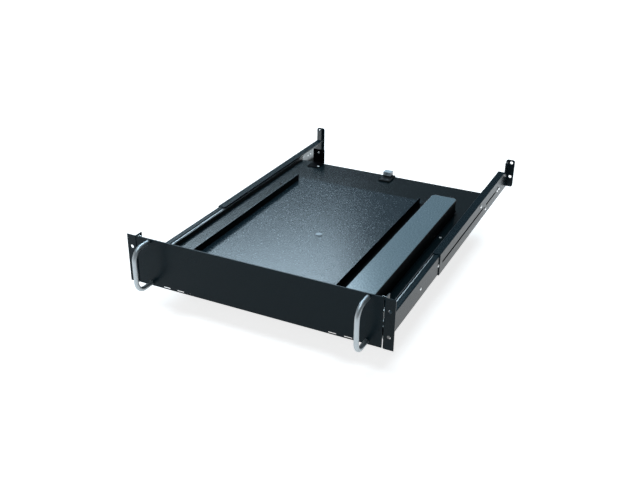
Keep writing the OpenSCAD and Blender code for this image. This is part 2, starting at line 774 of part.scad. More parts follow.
// Tongues on the back of the panel, gripped by the catch clips when it is shut
module catch_tongues() {
    tongue_half = clip_half - clip_t;
    color([0.78, 0.8, 0.8]) both() {
        slab([tongue_x, tongue_x + tongue_t], [panel_t, clip_end - 2 * clip_t],
            [clip_mid - tongue_half, clip_mid + tongue_half]);
        slab([tongue_x - tongue_foot_w, tongue_x + tongue_t], [panel_t, panel_t + clip_t],
            [clip_mid - tongue_half, clip_mid + tongue_half]);
    }
}

// Bow handle: one bent rod, made as two mirrored halves
handle_bore_l = 10;
module handle() {
    leg_h = handle_pitch / 2;
    run = handle_reach - handle_r;
    color([0.8, 0.82, 0.84]) at(handle_x, 0, rack_h / 2) for (m = [0, 1]) mirror([0, 0, m]) difference() {
        union() {
            translate([0, 0, leg_h]) rotate([90, 0, 0]) cylinder(d = handle_d, h = run);
            translate([0, -run, leg_h - handle_r]) mirror([0, 1, 0]) rotate([90, 0, 90])
                rotate_extrude(angle = 90) translate([handle_r, 0]) circle(d = handle_d);
            translate([0, -handle_reach, 0]) cylinder(d = handle_d, h = leg_h - handle_r);
        }
        translate([0, cut, leg_h]) rotate([90, 0, 0])
            cylinder(d = screw_d + 2 * screw_gap, h = handle_bore_l + cut);
    }
}

module handle_screws() {
    color([0.75, 0.77, 0.78]) for (s = [-1, 1], t = [-1, 1]) {
        h = rack_h / 2 + t * handle_pitch / 2;
        rod_y(s * handle_x, [-handle_bore_l + screw_d / 2, panel_t], h, screw_d);
        rod_y(s * handle_x, [panel_t, panel_t + head_h], h, head_d);
    }
}

left() front_bracket();  // front_bracket_left
front_bracket();  // front_bracket_right
left() rear_bracket();  // rear_bracket_left
rear_bracket();  // rear_bracket_right
clamp_screws();
slide_rear_screws();
spacer_washers();
slide_rivets();
left() catch_clip();  // catch_clip_left
catch_clip();  // catch_clip_right
left() outer_slide();  // outer_slide_left
outer_slide();  // outer_slide_right
left() middle_slide();  // middle_slide_left
middle_slide();  // middle_slide_right
outer_ball_cages();
inner_ball_cages();
left() inner_slide();  // inner_slide_left
inner_slide();  // inner_slide_right
left() side_wall();  // side_wall_left
side_wall();  // side_wall_right
base_tray();
edge_strips();
tray_screws();
tray_rivet();
bearing_ring();
turn_plate();
keyboard_pan();
pivot_bolt();
pivot_washer();
pivot_nut();
palm_rest();
palm_rest_screws();
clip_foot();
cable_clip();
clip_screws();
cable_bracket();
cable_bracket_screws();
tray_hinge_leaves();
hinge_rivets();
hinge_pins();
panel_hinge_leaves();
front_panel();
catch_tongues();
left() handle();  // handle_left
handle();  // handle_right
handle_screws();
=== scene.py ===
import math

import bmesh
import bpy
from mathutils import Matrix, Vector


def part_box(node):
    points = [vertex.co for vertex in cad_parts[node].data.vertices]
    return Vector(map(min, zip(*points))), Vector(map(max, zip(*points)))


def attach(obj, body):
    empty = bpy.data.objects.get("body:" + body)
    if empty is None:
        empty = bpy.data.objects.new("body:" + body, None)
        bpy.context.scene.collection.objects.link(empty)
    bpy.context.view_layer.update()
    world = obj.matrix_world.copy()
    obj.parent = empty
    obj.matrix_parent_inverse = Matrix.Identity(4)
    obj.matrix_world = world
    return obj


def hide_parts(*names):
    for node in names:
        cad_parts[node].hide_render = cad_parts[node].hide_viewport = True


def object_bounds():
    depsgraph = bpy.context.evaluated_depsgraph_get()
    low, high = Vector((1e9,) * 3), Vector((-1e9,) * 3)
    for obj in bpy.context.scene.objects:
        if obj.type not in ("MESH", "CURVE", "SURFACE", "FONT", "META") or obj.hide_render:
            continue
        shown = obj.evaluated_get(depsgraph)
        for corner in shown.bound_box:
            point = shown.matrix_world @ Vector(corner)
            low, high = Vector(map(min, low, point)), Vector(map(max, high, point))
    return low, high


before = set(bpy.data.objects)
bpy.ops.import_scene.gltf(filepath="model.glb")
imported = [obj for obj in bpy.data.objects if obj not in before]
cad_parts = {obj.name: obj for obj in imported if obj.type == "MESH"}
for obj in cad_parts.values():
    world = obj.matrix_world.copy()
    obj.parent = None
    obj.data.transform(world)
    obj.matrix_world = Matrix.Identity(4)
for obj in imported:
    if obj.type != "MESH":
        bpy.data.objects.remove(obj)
cad_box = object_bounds()

# The camera stands in front of the drawer, to its right and above it, at a normal focal length.
# Its turn and tilt are those at which the long edges of the drawer run to their vanishing points.
camera_place = (0.58245, -0.97386, 0.64514)
camera_turn = math.radians(25.528)
camera_tilt = math.radians(26.22)
camera_roll = math.radians(0.8605)
photo_width = 640
focal_pixels = 819.4
ahead = Vector((-math.sin(camera_turn) * math.cos(camera_tilt),
                math.cos(camera_turn) * math.cos(camera_tilt), -math.sin(camera_tilt)))
level_right = Vector((math.cos(camera_turn), math.sin(camera_turn), 0))
level_up = level_right.cross(ahead)
right = level_right * math.cos(camera_roll) + level_up * math.sin(camera_roll)
up = level_up * math.cos(camera_roll) - level_right * math.sin(camera_roll)
camera = bpy.data.objects.new("camera", bpy.data.cameras.new("camera"))
camera.data.sensor_width = 36
camera.data.lens = focal_pixels / photo_width * camera.data.sensor_width
camera.data.clip_start = 0.01
camera.data.clip_end = 100
camera.matrix_world = Matrix.Translation(camera_place) @ Matrix(
    (right, up, -ahead)).transposed().to_4x4()
bpy.context.collection.objects.link(camera)
bpy.context.scene.camera = camera
bpy.context.scene.view_settings.view_transform = "Standard"


class Value:
    """A socket in a finish. Sums and products of values add the Math nodes that work them out."""

    def __init__(self, finish, socket):
        self.finish = finish
        self.socket = socket

    def math(self, operation, first, second):
        made = self.finish.node("Math", {"operation": operation}, (first, second))
        return made.out("Value")

    def larger(self, other):
        return self.math("MAXIMUM", self, other)

    def __add__(self, other):
        return self.math("ADD", self, other)

    def __mul__(self, other):
        return self.math("MULTIPLY", self, other)

    __radd__ = __add__
    __rmul__ = __mul__


class Made:
    """A node that a finish has made, with its outputs as values."""

    def __init__(self, finish, node):
        self.finish = finish
        self.node = node

    def out(self, name):
        return Value(self.finish, self.node.outputs[name])


class Finish:
    """A material, or the world, in the making."""

    def __init__(self, name, world=False):
        self.data = (bpy.data.worlds if world else bpy.data.materials).new(name)
        self.data.use_nodes = True
        self.tree = self.data.node_tree
        self.tree.nodes.clear()

    def plug(self, socket, value):
        if isinstance(value, Value):
            self.tree.links.new(value.socket, socket)
        else:
            socket.default_value = value

    def node(self, kind, settings=None, sockets=()):
        node = self.tree.nodes.new("ShaderNode" + kind)
        for key, value in (settings or {}).items():
            setattr(node, key, value)
        pairs = sockets.items() if isinstance(sockets, dict) else enumerate(sockets)
        for key, value in pairs:
            self.plug(node.inputs[key], value)
        return Made(self, node)

    def blend(self, share, first, second):
        """A colour between two colours."""
        tones = [tone if isinstance(tone, Value) else (*tone, 1) for tone in (first, second)]
        mixed = self.node("Mix", {"data_type": "RGBA"}, {0: share, 6: tones[0], 7: tones[1]})
        return Value(self, mixed.node.outputs[2])

    def step(self, value, low, high):
        """Nought below low, one above high and a ramp between."""
        return self.node("MapRange", sockets={
            "Value": value, "From Min": low, "From Max": high}).out("Result")

    def noise(self, place, scale, detail, roughness=0.5):
        return self.node("TexNoise", sockets={
            "Vector": place, "Scale": scale, "Detail": detail, "Roughness": roughness}).out("Fac")


# The studio floor is a plain white sheet. The drawer hangs just above it, as in its rack, so
# that the panel and its handles can fold down. The lens and the polished metal see it white,
# and it still takes the drawer's shadow, which fades out with the distance.
fold_room = 0.048
floor_height = cad_box[0].z - fold_room
floor_reach = 40
shadow_near = 0.9
shadow_far = 3
floor_white = Finish("floor_white")
path = floor_white.node("LightPath")
seen = path.out("Is Camera Ray").larger(path.out("Is Glossy Ray"))
seen = seen.larger(path.out("Is Transmission Ray"))
place = floor_white.node("TexCoord").out("Object")
reach = floor_white.node("VectorMath", {"operation": "LENGTH"}, (place,)).out("Value")
far = floor_white.step(reach, shadow_near, shadow_far)
white = floor_white.blend(far, (0.78, 0.78, 0.78), (1, 1, 1))
glow = floor_white.node("Emission", sockets={"Color": white, "Strength": 1})
matt = floor_white.node("BsdfDiffuse", sockets={"Color": (0.8, 0.8, 0.8, 1)})
lit = floor_white.node("AddShader", sockets=(glow.out("Emission"), matt.out("BSDF")))
plain = floor_white.node("BsdfDiffuse", sockets={"Color": (0.5, 0.5, 0.5, 1)})
shown = floor_white.node("MixShader", sockets=(seen, plain.out("BSDF"), lit.out("Shader")))
floor_white.node("OutputMaterial", sockets={"Surface": shown.out("Shader")})
floor_mesh = bpy.data.meshes.new("floor")
shape = bmesh.new()
bmesh.ops.create_grid(shape, x_segments=1, y_segments=1, size=floor_reach,
                      matrix=Matrix.Translation((0, 0, floor_height)))
shape.to_mesh(floor_mesh)
shape.free()
floor = bpy.data.objects.new("floor", floor_mesh)
floor_mesh.materials.append(floor_white.data)
bpy.context.collection.objects.link(floor)


# The room round the floor is white to the lens and dim to everything else, with a faint cool
# light of its own. Gloss sees only a trace of it, so that the black coats stay black.
gloss_share = 0.03
world = Finish("studio", world=True)
path = world.node("LightPath")
seen = path.out("Is Camera Ray").larger(path.out("Is Transmission Ray"))
seen = seen.larger(path.out("Is Glossy Ray") * gloss_share)
white = world.node("Background", sockets={"Color": (1, 1, 1, 1), "Strength": 1})
room = world.node("Background", sockets={"Color": (0.85, 0.94, 1, 1), "Strength": 0.06})
shown = world.node("MixShader", sockets=(seen, room.out("Background"), white.out("Background")))
world.node("OutputWorld", sockets={"Surface": shown.out("Shader")})
bpy.context.scene.world = world.data


# Three soft boxes: the main one stands behind on the left and shines along the pan, and two
# weak ones above and in front open the shadows.
aim = Vector((0, 0.25, 0))


def soft_box(name, place, width, height, power, tint=(1, 1, 1)):
    """A large area light that faces the middle of the drawer."""
    lamp = bpy.data.lights.new(name, "AREA")
    lamp.shape = "RECTANGLE"
    lamp.size = width
    lamp.size_y = height
    lamp.energy = power
    lamp.color = tint
    rig = bpy.data.objects.new(name, lamp)
    facing = (Vector(place) - aim).to_track_quat("Z", "Y")
    rig.matrix_world = Matrix.Translation(place) @ facing.to_matrix().to_4x4()
    bpy.context.collection.objects.link(rig)


soft_box("main_light", (-1.72, 2.34, 2.22), width=1.9, height=1.42, power=62,
         tint=(0.66, 0.86, 1))
soft_box("top_light", (-0.2, 0, 3), width=1.6, height=1.6, power=48, tint=(0.82, 0.94, 1))
soft_box("front_light", (-1.5, -1.5, 0.9), width=1.2, height=0.9, power=6)


# Front brackets, one on each side: ear, gusset, web and two flanges folded from one steel
# sheet and powder coated in smooth black, with a hair of bare steel where the edges are worn.
mm = 0.001
touching = 0.001 * mm
flat_turn = math.radians(1)
smooth_turn = math.radians(30)
sharp_turn = math.radians(50)
square_turn = math.radians(60)
bare_steel = (0.34, 0.35, 0.36)


def coat(name, tone, roughness, shine=0.5, grain=0.6 * mm, relief=0.02 * mm, wear=0.0):
    """Powder coat: a fine orange peel, a little uneven in tone and gloss, worn off in specks."""
    finish = Finish(name)
    place = finish.node("TexCoord").out("Object")
    peel = finish.step(finish.noise(place, scale=1 / grain, detail=2), low=0.3, high=0.7)
    cloud = finish.noise(place, scale=9, detail=4)
    light = tuple(part * 1.3 + 0.002 for part in tone)
    dark = tuple(part * 0.7 for part in tone)
    colour = finish.blend(peel * 0.8 + cloud * 0.2, dark, light)
    gloss = cloud * 0.04 + peel * 0.12 + (roughness - 0.08)
    specks = finish.noise(place, scale=260, detail=6, roughness=0.7)
    bare = finish.step(specks, low=0.56, high=0.64) * wear
    colour = finish.blend(bare, colour, bare_steel)
    bump = finish.node("Bump", sockets={"Strength": 0.6, "Distance": relief, "Height": peel})
    surface = finish.node("BsdfPrincipled", sockets={
        "Base Color": colour, "Metallic": bare, "Roughness": gloss,
        "Specular IOR Level": shine, "Normal": bump.out("Normal")})
    finish.node("OutputMaterial", sockets={"Surface": surface.out("BSDF")})
    return finish.data


def add_piece(name, shape, body, materials, stands_for):
    """Makes a finished shape a piece of the drawer."""
    mesh = bpy.data.meshes.new(name)
    shape.to_mesh(mesh)
    shape.free()
    for material in materials:
        mesh.materials.append(material)
    piece = bpy.data.objects.new(name, mesh)
    bpy.context.collection.objects.link(piece)
    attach(piece, body)
    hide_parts(*stands_for)
    return piece


def merged(node):
    """A copy of a CAD node with its triangles joined to whole faces."""
    shape = bmesh.new()
    shape.from_mesh(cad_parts[node].data)
    bmesh.ops.remove_doubles(shape, verts=shape.verts, dist=touching)
    bmesh.ops.dissolve_limit(shape, angle_limit=flat_turn, verts=shape.verts, edges=shape.edges)
    for face in shape.faces:
        turns = [edge.calc_face_angle(0) for edge in face.edges]
        face.smooth = any(flat_turn < turn < smooth_turn for turn in turns)
    return shape


def sheet_folds(shape, gauge):
    """The inner and outer edges of the folds in a sheet of one gauge."""
    inner = [edge for edge in shape.edges if edge.calc_face_angle_signed(0) < -square_turn]
    corners = [edge for edge in shape.edges if edge.calc_face_angle_signed(0) > square_turn]
    outer = []
    for corner in corners:
        along = (corner.verts[1].co - corner.verts[0].co).normalized()
        middle = (corner.verts[0].co + corner.verts[1].co) / 2
        for edge in inner:
            other = edge.verts[1].co - edge.verts[0].co
            away = (edge.verts[0].co + edge.verts[1].co) / 2 - middle
            offset = (away - along * away.dot(along)).length
            reach = (other.length + corner.calc_length()) / 2
            if (abs(other.normalized().dot(along)) > 0.999 and abs(away.dot(along)) < reach
                    and abs(offset - gauge * math.sqrt(2)) < gauge * 0.1):
                outer.append(corner)
                break
    return inner, outer


def round_edges(shape, edges, radius, segments, worn=0):
    """Rounds edges and leaves the new faces smooth, in the worn finish where one is given."""
    rounded = bmesh.ops.bevel(shape, geom=edges, offset=radius, offset_type="OFFSET",
                              segments=segments, profile=0.5, affect="EDGES", material=-1,
                              clamp_overlap=True)
    for face in rounded["faces"]:
        face.smooth = True
        face.material_index = worn


def pressed(name, node, body, materials, gauge=1.5 * mm, fold=1.8 * mm, broken=0.25 * mm):
    """A CAD solid again as pressed sheet: its folds bent to a radius and its edges broken."""
    shape = merged(node)
    inner, outer = sheet_folds(shape, gauge)
    if outer:
        round_edges(shape, outer, fold, segments=5)
        inner = [edge for edge in inner if edge.is_valid]
        round_edges(shape, inner, max(fold - gauge, 0.2 * mm), segments=2)
    sharp = [edge for edge in shape.edges if edge.calc_face_angle_signed(0) > sharp_turn]
    round_edges(shape, sharp, broken, segments=2, worn=len(materials) - 1)
    return add_piece(name, shape, body, materials, [node])


rail_black = coat("rail_black", (0.006, 0.018, 0.025), roughness=0.25, shine=0.13, grain=0.9 * mm,
                  relief=0.012 * mm)
rail_worn = coat("rail_black_worn", (0.02, 0.034, 0.04), roughness=0.3, shine=0.17, wear=0.4)
for side in ("left", "right"):
    pressed("bracket_front_" + side, "front_bracket_" + side, "rails", (rail_black, rail_worn))


# Rear brackets: longer folded channels that sleeve over the front ones, with the rear ear
# welded across the end and two slots in the web that set the depth. Same steel, same coat.
for side in ("left", "right"):
    pressed("bracket_rear_" + side, "rear_bracket_" + side, "rails", (rail_black, rail_worn))


# Clamp screws: pan heads with a cross, bright zinc plated. They go through the webs of front
# and rear bracket and hold the depth that was set.
def metal(name, tone, roughness, streaks=(300, 12, 300), relief=0.006 * mm, uneven=0.15):
    """Plated or brushed metal, with fine lines from rolling and a faint cloudiness."""
    finish = Finish(name)
    place = finish.node("TexCoord").out("Object")
    along = finish.node("Mapping", sockets={"Vector": place, "Scale": streaks}).out("Vector")
    line = finish.noise(along, scale=8, detail=3)
    cloud = finish.noise(place, scale=70, detail=5, roughness=0.6)
    dark = tuple(part * (1 - uneven) for part in tone)
    colour = finish.blend(line * 0.4 + cloud * 0.6, dark, tone)
    bump = finish.node("Bump", sockets={"Strength": 0.5, "Distance": relief, "Height": line})
    surface = finish.node("BsdfPrincipled", sockets={
        "Base Color": colour, "Metallic": 1.0,
        "Roughness": line * 0.1 + cloud * 0.08 + (roughness - 0.09),
        "Normal": bump.out("Normal")})
    finish.node("OutputMaterial", sockets={"Surface": surface.out("BSDF")})
    return finish.data


turned_sides = 32


def turned(profile):
    """A lathe-turned solid about Z, from points (radius, height) that end on the axis."""
    shape = bmesh.new()
    line = [shape.verts.new((radius, 0, height)) for radius, height in profile]
    edges = [shape.edges.new(pair) for pair in zip(line, line[1:])]
    bmesh.ops.spin(shape, geom=line + edges, cent=(0, 0, 0), axis=(0, 0, 1),
                   angle=2 * math.pi, steps=turned_sides, use_merge=True)
    bmesh.ops.remove_doubles(shape, verts=shape.verts, dist=1e-7)
    bmesh.ops.recalc_face_normals(shape, faces=shape.faces)
    for face in shape.faces:
        face.smooth = True
    for edge in shape.edges:
        edge.smooth = edge.calc_face_angle(0) < math.radians(35)
    return shape


def cut_cross(shape, top, reach, width, depth):
    """Sinks a cross recess into the top of a turned head."""
    for axis in (0, 1):
        for place in (-reach / 2, -width / 2, width / 2, reach / 2):
            upper = [face for face in shape.faces if face.calc_center_median().z > top - depth]
            geometry = set(upper)
            for face in upper:
                geometry.update(face.edges, face.verts)
            point = Vector((0, 0, 0))
            normal = Vector((0, 0, 0))
            point[axis] = place
            normal[axis] = 1
            bmesh.ops.bisect_plane(shape, geom=list(geometry), dist=1e-8, plane_co=point,
                                   plane_no=normal)
    sunk = []
    for face in shape.faces:
        place = face.calc_center_median()
        arms = (abs(place.x) < width / 2 and abs(place.y) < reach / 2,
                abs(place.y) < width / 2 and abs(place.x) < reach / 2)
        if place.z > top - depth and face.normal.z > 0.3 and any(arms):
            sunk.append(face)
    grown = bmesh.ops.extrude_face_region(shape, geom=sunk)["geom"]
    walls = [part for part in grown if isinstance(part, bmesh.types.BMVert)]
    bmesh.ops.translate(shape, verts=walls, vec=(0, 0, -depth))
    bmesh.ops.delete(shape, geom=[face for face in sunk if face.is_valid], context="FACES_ONLY")


def pan_head(head, height, shank, length):
    """A pan head screw that points down, with the top of its head at half its length."""
    top = length / 2
    seat = top - height
    point = 0.4 * mm
    shape = turned(((0, top), (head * 0.2, top - height * 0.02), (head * 0.34, top - height * 0.14),
                    (head * 0.44, top - height * 0.4), (head * 0.49, top - height * 0.75),
                    (head * 0.5, seat + height * 0.08), (head * 0.49, seat), (shank / 2, seat),
                    (shank / 2, point - top), (shank * 0.36, -top), (0, -top)))
    cut_cross(shape, top, head * 0.56, head * 0.13, height * 0.5)
    return shape


def rivet_head(head, height, shank, length):
    """A blind rivet that points down: a low dome with the mouth of its bore in the middle."""
    top = length / 2
    seat = top - height
    return turned(((0, top - height * 0.7), (shank * 0.2, top - height * 0.7),
                   (shank * 0.24, top - height * 0.05), (head * 0.3, top),
                   (head * 0.42, top - height * 0.3), (head * 0.49, seat + height * 0.25),
                   (head * 0.5, seat), (shank / 2, seat), (shank / 2, -top), (0, -top)))


def fastener_places(node):
    """The middle, the direction of the head, the length and the width of each fastener."""
    shape = bmesh.new()
    shape.from_mesh(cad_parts[node].data)
    bmesh.ops.remove_doubles(shape, verts=shape.verts, dist=touching)
    shape.verts.ensure_lookup_table()
    waiting = set(range(len(shape.verts)))
    places = []
    while waiting:
        front = [waiting.pop()]
        points = []
        while front:
            vert = shape.verts[front.pop()]
            points.append(vert.co.copy())
            for edge in vert.link_edges:
                other = edge.other_vert(vert).index
                if other in waiting:
                    waiting.discard(other)
                    front.append(other)
        low = Vector([min(point[k] for point in points) for k in range(3)])
        high = Vector([max(point[k] for point in points) for k in range(3)])
        centre = (low + high) / 2
        size = high - low
        axis = min(range(3), key=lambda k: abs(size[(k + 1) % 3] - size[(k + 2) % 3]))
        across = (axis + 1) % 3
        width = high[across] - low[across]
        rim = [point[axis] for point in points
               if abs(point[across] - centre[across]) > width * 0.45]
        direction = Vector((0, 0, 0))
        direction[axis] = 1 if sum(rim) / len(rim) > centre[axis] else -1
        places.append((centre, direction, high[axis] - low[axis], width))
    shape.free()
    return sorted(places, key=lambda place: tuple(place[0]))


def fastened(name, node, body, material, make, height, shank):
    """All the screws or rivets of a CAD node, each with its real head."""
    total = bmesh.new()
    for centre, direction, length, width in fastener_places(node):
        one = make(width, height, shank, length)
        turn = direction.to_track_quat("Z", "Y").to_matrix().to_4x4()
        bmesh.ops.transform(one, matrix=Matrix.Translation(centre) @ turn, verts=one.verts)
        spare = bpy.data.meshes.new("spare")
        one.to_mesh(spare)
        one.free()
        total.from_mesh(spare)
        bpy.data.meshes.remove(spare)
    add_piece(name, total, body, (material,), [node])


bright_zinc = metal("bright_zinc", (0.97, 0.98, 0.98), roughness=0.38, relief=0.002 * mm,
                    uneven=0.06)
screw_shank = 4 * mm
screw_height = 2.2 * mm
fastened("screws_clamp", "clamp_screws", "rails", bright_zinc, pan_head,
         screw_height, screw_shank)


# Rear slide screws hold the outer members to the rear brackets, over plain spacer washers
# that fill the gap left by the thickness of the front bracket.
fastened("screws_slide_rear", "slide_rear_screws", "rails", bright_zinc,
         pan_head, screw_height, screw_shank)
pressed("washers_spacer", "spacer_washers", "rails", (bright_zinc,),
        broken=0.2 * mm)


# Slide rivets: zinc plated steel, with low domes on the outside of the bracket. They hold the
# front of each outer member to the web of the front bracket.
rivet_shank = 3.2 * mm
rivet_height = 1 * mm
fastened("rivets_slide", "slide_rivets", "rails", bright_zinc, rivet_head,
         rivet_height, rivet_shank)


# Catch clips: spring steel strip, bright zinc plated and bent to a mouth. One is spot welded
# on the gusset of each front bracket, where the panel's tongue snaps in.
spring_zinc = metal("spring_zinc", (0.82, 0.84, 0.84), roughness=0.25, relief=0.004 * mm)
clip_gauge = 0.8 * mm
for side in ("left", "right"):
    pressed("catch_" + side, "catch_clip_" + side, "rails", (spring_zinc,),
            gauge=clip_gauge, fold=0.9 * mm, broken=0.12 * mm)


# Outer slide members: C channels rolled from zinc plated strip, with round corners that are
# the tracks for the balls. Rolling leaves fine lines along them, and the web is painted a
# darker zinc as painted shade, the shade that falls under the bracket flange.
slide_zinc = metal("slide_zinc", (0.66, 0.68, 0.69), roughness=0.3)
web_zinc_painted_shade = metal("web_zinc_painted_shade", (0.25, 0.265, 0.27), roughness=0.42)
slide_gauge = 1.2 * mm
slide_fold = 1.7 * mm
slide_broken = 0.2 * mm
for side in ("left", "right"):
    slide = pressed("slide_outer_" + side, "outer_slide_" + side, "rails", (slide_zinc,),
                    slide_gauge, slide_fold, slide_broken)
    slide.data.materials.append(web_zinc_painted_shade)
    # The faces of the web take the darker zinc: painted shade under the bracket flange.
    for face in slide.data.polygons:
        if abs(face.normal.x) > 0.9:
            face.material_index = 1


# Middle slide members: rolled from the same strip, one size smaller. They run on the outer
# balls and move half as far as the drawer.
for side in ("left", "right"):
    pressed("slide_middle_" + side, "middle_slide_" + side, "middle_members", (slide_zinc,),
            slide_gauge, slide_fold, slide_broken)


# Ball cages: strips that keep the steel balls apart in their tracks, punched from thin sheet
# and yellow zinc plated. The CAD solids have their shape and only take the real surface.
def refinish(nodes, material):
    """Gives CAD nodes their real surface."""
    for node in nodes:
        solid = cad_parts[node]
        solid.data.materials.clear()
        solid.data.materials.append(material)


yellow_zinc = metal("yellow_zinc", (0.72, 0.6, 0.32), roughness=0.3)
refinish(["outer_ball_cages", "inner_ball_cages"], yellow_zinc)


# Inner slide members: the innermost channels of the same strip, run on the inner balls and
# screwed to the side walls of the drawer.
for side in ("left", "right"):
    pressed("slide_inner_" + side, "inner_slide_" + side, "drawer", (slide_zinc,),
            slide_gauge, slide_fold, slide_broken)


# Base tray: a flat steel sheet with stiffening strips below its rim, welded and ground to one
# rounded edge, then powder coated in black with a fine grain. One small hole is left open.
tray_black = coat("tray_black", (0.004, 0.012, 0.016), roughness=0.19, grain=2.8 * mm,
                  relief=0.12 * mm)
tray_worn = coat("tray_black_worn", (0.03, 0.042, 0.05), roughness=0.3, wear=0.3)
tray_rim = 1.8 * mm
tray_broken = 0.25 * mm
tray_hole = (-183.6 * mm, 434.6 * mm)
tray_hole_radius = 2.8 * mm


def pierce(shape, x, y, radius, level):
    """Opens a round hole in the flat face at a level."""
    half = radius * 1.6
    for axis, place in ((0, x - half), (0, x + half), (1, y - half), (1, y + half)):
        flat = [face for face in shape.faces
                if abs(face.calc_center_median().z - level) < 1e-5]
        geometry = set(flat)
        for face in flat:
            geometry.update(face.edges, face.verts)
        point = Vector((0, 0, level))
        normal = Vector((0, 0, 0))
        point[axis] = place
        normal[axis] = 1
        bmesh.ops.bisect_plane(shape, geom=list(geometry), dist=1e-8, plane_co=point,
                               plane_no=normal)
    patch = min(shape.faces, key=lambda face: (
        face.calc_center_median() - Vector((x, y, level))).length)
    bmesh.ops.subdivide_edges(shape, edges=list(patch.edges), cuts=7)
    patch = min(shape.faces, key=lambda face: (
        face.calc_center_median() - Vector((x, y, level))).length)
    bmesh.ops.inset_individual(shape, faces=[patch], thickness=half * 0.3)
    for vert in patch.verts:
        spoke = Vector((vert.co.x - x, vert.co.y - y, 0)).normalized() * radius
        vert.co = Vector((x, y, level)) + spoke
    bmesh.ops.delete(shape, geom=[patch], context="FACES")


tray_low, tray_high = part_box("base_tray")
strip_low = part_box("edge_strips")[0]
tray_gauge = tray_high.z - tray_low.z
tray_size = Vector((tray_high.x - tray_low.x, tray_high.y - tray_low.y,
                    tray_high.z - strip_low.z))
tray_middle = (tray_low + tray_high) / 2
shape = bmesh.new()
bmesh.ops.create_cube(shape, size=1, matrix=Matrix.Translation(
    (tray_middle.x, tray_middle.y, tray_high.z - tray_size.z / 2)) @ Matrix.Diagonal(
        (*tray_size, 1)))
bottom = [face for face in shape.faces if face.normal.z < -0.9]
bmesh.ops.delete(shape, geom=bottom, context="FACES_ONLY")
corners = [edge for edge in shape.edges if edge.calc_face_angle(0) > square_turn]
round_edges(shape, corners, tray_rim, segments=4)
pierce(shape, *tray_hole, tray_hole_radius, tray_high.z)
bmesh.ops.recalc_face_normals(shape, faces=shape.faces)
bmesh.ops.solidify(shape, geom=shape.faces[:], thickness=tray_gauge)
sharp = [edge for edge in shape.edges if edge.calc_face_angle_signed(0) > square_turn]
round_edges(shape, sharp, tray_broken, segments=2, worn=1)
add_piece("tray", shape, "drawer", (tray_black, tray_worn),
          ["base_tray", "edge_strips"])


# Side walls: steel sheet folded to an angle, which stands between the edge strip of the tray
# and the inner slide member. Its black coat is plainer and duller than the tray's.
inner_black = coat("inner_black", (0.012, 0.014, 0.017), roughness=0.4)
inner_worn = coat("inner_black_worn", (0.03, 0.034, 0.037), roughness=0.4, wear=0.5)
for side in ("left", "right"):
    pressed("wall_" + side, "side_wall_" + side, "drawer", (inner_black, inner_worn))


# Tray screws: three zinc plated pan heads a side, driven through edge strip, side wall and
# inner member, so that the slides carry the tray.
fastened("screws_tray", "tray_screws", "drawer", bright_zinc, pan_head,
         screw_height, screw_shank)


# Bearing: a flat ring moulded in black nylon. It lies on the tray round the pivot, and the
# turning plate slides round on it.
nylon_black = coat("nylon_black", (0.02, 0.02, 0.021), roughness=0.45, shine=0.4, grain=1.5 * mm,
                   relief=0.01 * mm)
pressed("bearing", "bearing_ring", "drawer", (nylon_black,), broken=0.5 * mm)


# Turning plate: a flat steel plate that carries pan and palm rest, seen as a strip between
# them. It takes a near-black with almost no gloss, which paints in the shade that lies in
# the channel between the pan flange and the palm rest.
plate_painted_shade = coat("plate_painted_shade", (0.002, 0.003, 0.004), roughness=0.55, shine=0.05)
pressed("turning_plate", "turn_plate", "drawer", (plate_painted_shade,))


# Keyboard pan: one steel sheet with a flange folded up on each long side, in grey-blue
# powder coat with a fine grain. The sides of the flanges are painted near-black with almost
# no gloss: painted shade, where they stand in shadow.
pan_grey = coat("pan_grey", (0.012, 0.028, 0.04), roughness=0.22, grain=2.8 * mm, relief=0.1 * mm)
pan_worn = coat("pan_grey_worn", (0.05, 0.075, 0.09), roughness=0.33, wear=0.3)
side_shade_black = coat("side_shade_black", (0.002, 0.003, 0.004), roughness=0.5, shine=0.05)
pan = pressed("pan", "keyboard_pan", "drawer", (pan_grey, pan_worn), fold=2 * mm)
pan.data.materials.append(side_shade_black)
# Faces that stand upright take the near-black painted shade.
for face in pan.data.polygons:
    if abs(face.normal.z) < 0.3 and face.material_index == 0:
        face.material_index = 2


# Pivot: a flanged steel bolt, zinc plated, down through pan, plate, bearing and tray, with a
# washer and a nut below. The CAD solids have their shape and only take the real surface.
pivot_zinc = metal("pivot_zinc", (0.19, 0.205, 0.215), roughness=0.36)
refinish(["pivot_bolt", "pivot_washer", "pivot_nut"], pivot_zinc)


# Palm rest: a solid moulded bar with a rounded rim. Its top is grey-blue with a fine grain,
# and its sides take the same near-black painted shade as the pan flanges.
rest_grey = coat("rest_grey", (0.15, 0.22, 0.26), roughness=0.21, shine=0.75, grain=2.4 * mm,
                 relief=0.05 * mm)
rest_corner = 8 * mm
rest_rim = 1.2 * mm
rest_broken = 0.4 * mm
rest_low, rest_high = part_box("palm_rest")
rest_size = rest_high - rest_low
shape = bmesh.new()
bmesh.ops.create_cube(shape, size=1, matrix=Matrix.Translation((rest_low + rest_high) / 2)
                      @ Matrix.Diagonal((*rest_size, 1)))
upright = [edge for edge in shape.edges
           if abs(edge.verts[0].co.z - edge.verts[1].co.z) > rest_size.z / 2]
round_edges(shape, upright, rest_corner, segments=8)
rim = [edge for edge in shape.edges if edge.calc_face_angle(0) > square_turn
       and min(vert.co.z for vert in edge.verts) > rest_high.z - touching]
round_edges(shape, rim, rest_rim, segments=4)
foot = [edge for edge in shape.edges if edge.calc_face_angle(0) > square_turn]
round_edges(shape, foot, rest_broken, segments=2)
shape.normal_update()
for face in shape.faces:
    # Steep faces take the near-black painted shade; the top keeps the grey-blue.
    face.material_index = int(face.normal.z < 0.35)
add_piece("palm_bar", shape, "drawer", (rest_grey, side_shade_black),
          ["palm_rest"])


